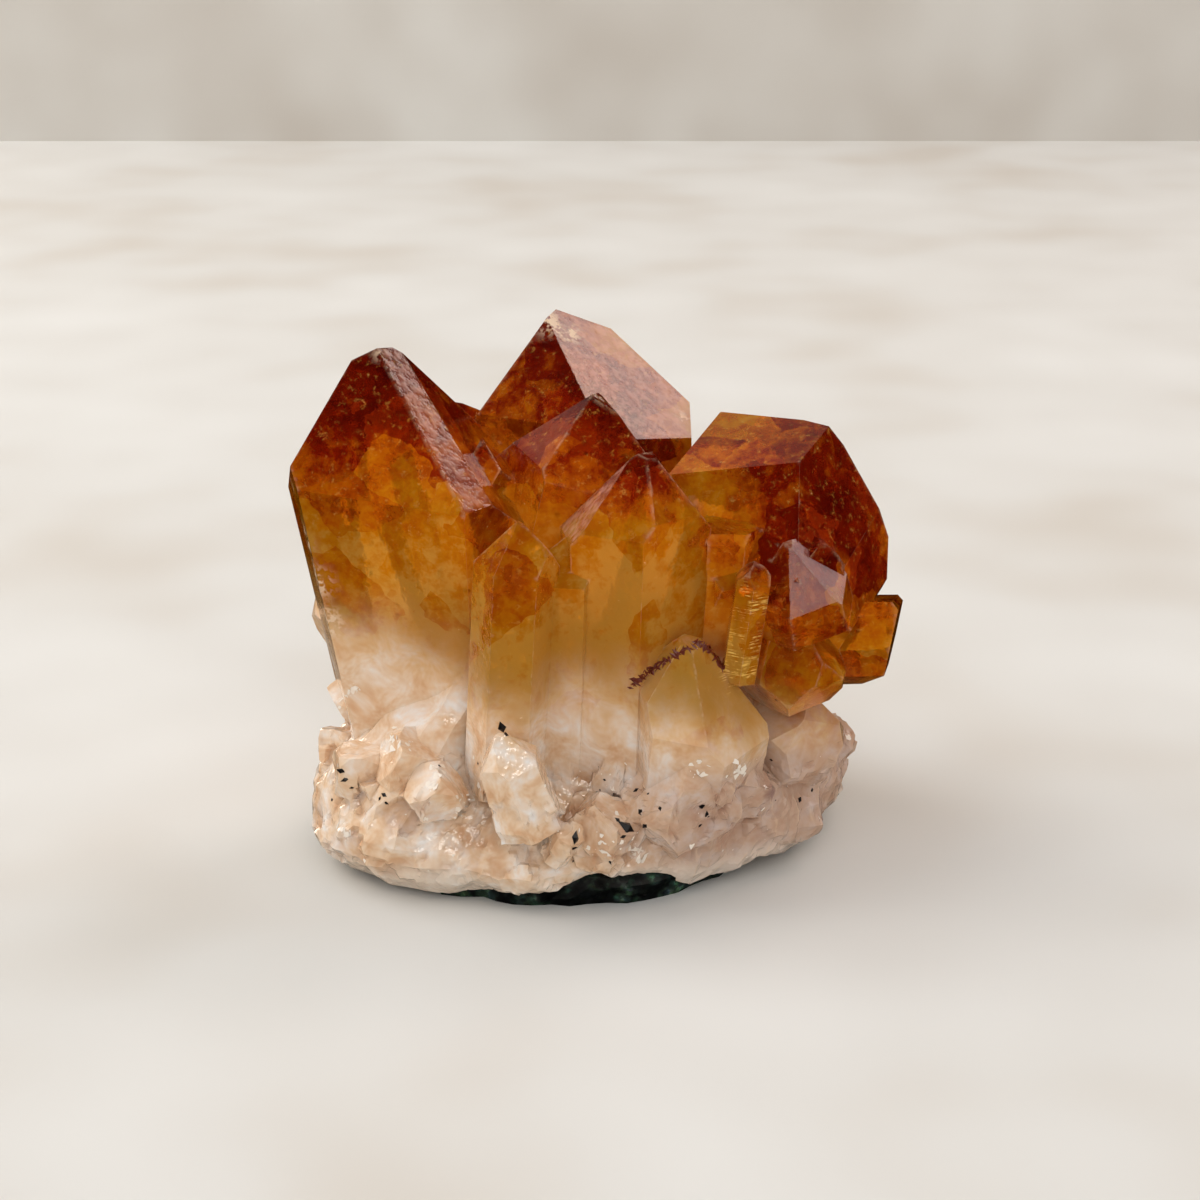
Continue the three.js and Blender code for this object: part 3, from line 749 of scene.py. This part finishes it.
crack = []
for (u0, v0), (u1, v1) in zip(RED_CRACK, RED_CRACK[1:]):
    for t in np.linspace(0, 1, CRACK_GRAINS, endpoint=False):
        u = u0 + t * (u1 - u0) + random.normal(0, CRACK_WANDER)
        v = v0 + t * (v1 - v0) + random.normal(0, CRACK_WANDER)
        crack.append((*seen_at(u, v), random.uniform(0.08, 0.26), 3.0))
red_grains = lumps("red_grains", [grain for grain in crack if grain[0] is not None], 4)

# Natural iron ore is near black where it is fresh, and dark red where it has rusted. It has a dull shine.
for grains, code in ((black_grains, "#120E10"), (red_grains, "#6E2408")):
    plain_finish(grains, grains.name + "_ore", {"Base Color": linear(code), "Roughness": 0.45})
    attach(grains, "root")

# %% [markdown]
# ## Fresh breaks, white as painted highlights
# Where the milky base broke, small clean faces are almost white, as painted highlights. They lie in groups at
# the places below, and thinly all round.

# %% Shining breaks, painted highlights
# Each group of painted highlights: its middle in the frame and its spread, in pixels.
PAINTED_GLINT_BREAKS = [
    (395, 740, 9), (410, 746, 8), (438, 770, 7), (432, 786, 5), (465, 800, 7), (458, 812, 5), (345, 700, 7),
    (352, 690, 5), (600, 848, 14), (625, 846, 10), (640, 852, 8), (700, 768, 8), (345, 830, 10),
    (740, 770, 7),
]
GROUP_COUNT, SCATTERED_COUNT = 12, 260
LIFT = 0.02

random = np.random.default_rng(23)
centres, ways = [], []
for u, v, spread in PAINTED_GLINT_BREAKS:
    for du, dv in random.normal(0, spread * 0.6, (GROUP_COUNT, 2)):
        at, way = seen_at(u + du, v + dv)
        if at is not None:
            centres.append(at + way * LIFT)
            ways.append(way + random.normal(0, 0.12, 3))
grouped = len(centres)
for i in random.choice(milky_low, SCATTERED_COUNT, replace=False):
    centres.append(points[i] + outward[i] * LIFT)
    ways.append(outward[i] + random.normal(0, 0.15, 3))
power = np.where(np.arange(len(centres)) < grouped, 2.0, 3.5)
shine_sizes = 0.08 + 0.85 * random.random(len(centres)) ** power
painted_glint_breaks = flakes("painted_glint_breaks", np.array(centres), unit(np.array(ways)), shine_sizes, seed=5)
# A fresh break in milky quartz is white and nearly as smooth as glass. Its near-white colour is also a
# painted highlight.
plain_finish(painted_glint_breaks, "quartz_break_painted_glint",
             {"Base Color": linear("#FFF2E2"), "Roughness": 0.12, "IOR": QUARTZ_IOR})
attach(painted_glint_breaks, "root")

# %% [markdown]
# ## The rock rind
# The crust is the bed that the quartz grew on: dark green and black, rough and broken. It keeps its flat
# underside, and its sides get grains and pits.

# %% Rind skin
RIND_EDGE = 0.6

points, triangles = halve_long_edges(*skin_of("rock_rind"), lambda p: np.full(len(p), RIND_EDGE))
outward = normals_of(points, triangles)
side = step(0.05, 0.8, points[:, 2]) * step(3.6, 2.6, points[:, 2])
relief = 0.22 * chips(points, 2.4, 21) + 0.12 * soft(points, 1.2, 22) - 0.1
points = points + outward * (side * relief)[:, None]
rind_skin = piece("rind_skin", points, triangles, smooth_under=30)

# %% [markdown]
# ### Finish: weathered green rock
# Chlorite and iron make it near black with green grains. It is dull, with a few glints.

# %% Green rock
GRAIN_SIZE, PATCH_SIZE = 0.714 * MM, 2.5 * MM

rock, tree = new_material("green_rock")
place = node(tree, "TexCoord").outputs["Object"]
grains = node(tree, "TexVoronoi", {"Vector": place, "Scale": 1 / GRAIN_SIZE}).outputs["Color"]
patches = node(tree, "TexNoise", {"Vector": place, "Scale": 1 / PATCH_SIZE, "Detail": 6.0,
                                  "Roughness": 0.65})
dark_green = node(tree, "ValToRGB", (patches,))
set_stops(dark_green, [(0.36, "#060808"), (0.5, "#101814"), (0.62, "#2C4436"), (0.72, "#6A8A76")])
grained = node(tree, "Mix", {0: 0.3, 6: dark_green, 7: grains}, blend_type="OVERLAY", **COLOURS)
bump = node(tree, "Bump", {"Height": patches, "Strength": 0.6, "Distance": RELIEF})
dull_rock = node(tree, "BsdfPrincipled", {"Base Color": grained, "Roughness": 0.6, "Normal": bump})
node(tree, "OutputMaterial", {"Surface": dull_rock})
rind_skin.data.materials.append(rock)
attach(rind_skin, "root")
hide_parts("rock_rind")

# %% [markdown]
# ## The studio
# A pale plastered table with a slightly greyer wall behind it, lit softly. The room's even light fills the
# stone but isn't mirrored by its faces: only the panels are, where the large tilted faces point at them.


# %% Stage
PLASTER_SIZE = 70 * MM


def sheet(name, corners, stops):
    """A flat stage surface with a mottled plaster finish, that the faces of the stone don't mirror."""
    made = piece(name, np.array(corners, dtype=float), np.array([[0, 1, 2], [0, 2, 3]]))
    material, tree = new_material(name + "_plaster")
    place = node(tree, "TexCoord").outputs["Object"]
    mottle = node(tree, "TexNoise", {"Vector": place, "Scale": 1 / PLASTER_SIZE, "Detail": 2.0,
                                     "Roughness": 0.7})
    tone = node(tree, "ValToRGB", (mottle,))
    set_stops(tone, stops)
    plaster = node(tree, "BsdfPrincipled", {"Base Color": tone, "Roughness": 0.8})
    node(tree, "OutputMaterial", {"Surface": plaster})
    made.data.materials.append(material)
    made.visible_glossy = False
    return made


SIDE, BACK, FOOT, TOP = 900, 478, -20, 700
sheet("table", [[-SIDE, -SIDE, 0], [SIDE, -SIDE, 0], [SIDE, BACK, 0], [-SIDE, BACK, 0]],
      [(0.3, "#D2CCC2"), (0.5, "#DCDAD4"), (0.7, "#E2E1DC")])
sheet("wall", [[-SIDE, BACK, FOOT], [SIDE, BACK, FOOT], [SIDE, BACK, TOP], [-SIDE, BACK, TOP]],
      [(0.3, "#C8C0B5"), (0.7, "#DCD8D0")])


# %% Lights
def panel(name, towards, size, radiance, code="#FFFFFF", distance=0.8, mirrored_only=False):
    """A square soft light on the line from the cluster's middle towards a direction, facing the cluster."""
    light = bpy.data.lights.new(name, "AREA")
    light.shape = "SQUARE"
    light.size = size
    light.energy = radiance * math.pi * size * size
    light.color = linear(code)[:3]
    made = bpy.data.objects.new(name, light)
    way = np.array(towards, dtype=float)
    way /= np.linalg.norm(way)
    made.location = AIM + way * distance
    made.rotation_euler = Vector(way).to_track_quat("Z", "Y").to_euler()
    made.visible_diffuse = not mirrored_only
    made.visible_transmission = not mirrored_only
    scene.collection.objects.link(made)
    return made


key = panel("left_key", (-0.74, 0.22, 0.64), 0.62, 2.8, "#FFFCFA")
key.visible_glossy = False
fill = panel("front_fill", (0.15, -0.85, 0.5), 0.5, 1.0, "#FFF4EA")
fill.visible_glossy = False
panel("right_panel", (0.48, 0.52, 0.70), 0.4, 3.8, "#FFEDE4")
panel("back_strip", (-0.53, 0.84, 0.20), 0.4, 6.0, "#FFEEDC", mirrored_only=True)
panel("left_sheen", (-0.65, 0.37, 0.65), 0.4, 0.3, "#FFF0E8", mirrored_only=True)
panel("top_sheen", (-0.155, 0.605, 0.78), 0.3, 0.4, "#FFEAD0", mirrored_only=True)
panel("overhead_glint", (0.1, -0.3, 0.95), 0.34, 7.0, "#FFFAF2", mirrored_only=True)
panel("front_glint", (0.37, -0.87, 0.32), 0.22, 2.0, "#FFF2F0", mirrored_only=True)
panel("side_glint", (0.79, 0.50, 0.36), 0.2, 1.6, "#FFF0F0", mirrored_only=True)

# %% The room's even light
ROOM_LIGHT = 0.71

world = bpy.data.worlds.new("room")
world.use_nodes = True
scene.world = world
background = world.node_tree.nodes["Background"]
background.inputs["Color"].default_value = linear("#FCFDFF")
background.inputs["Strength"].default_value = ROOM_LIGHT
world.cycles_visibility.glossy = False
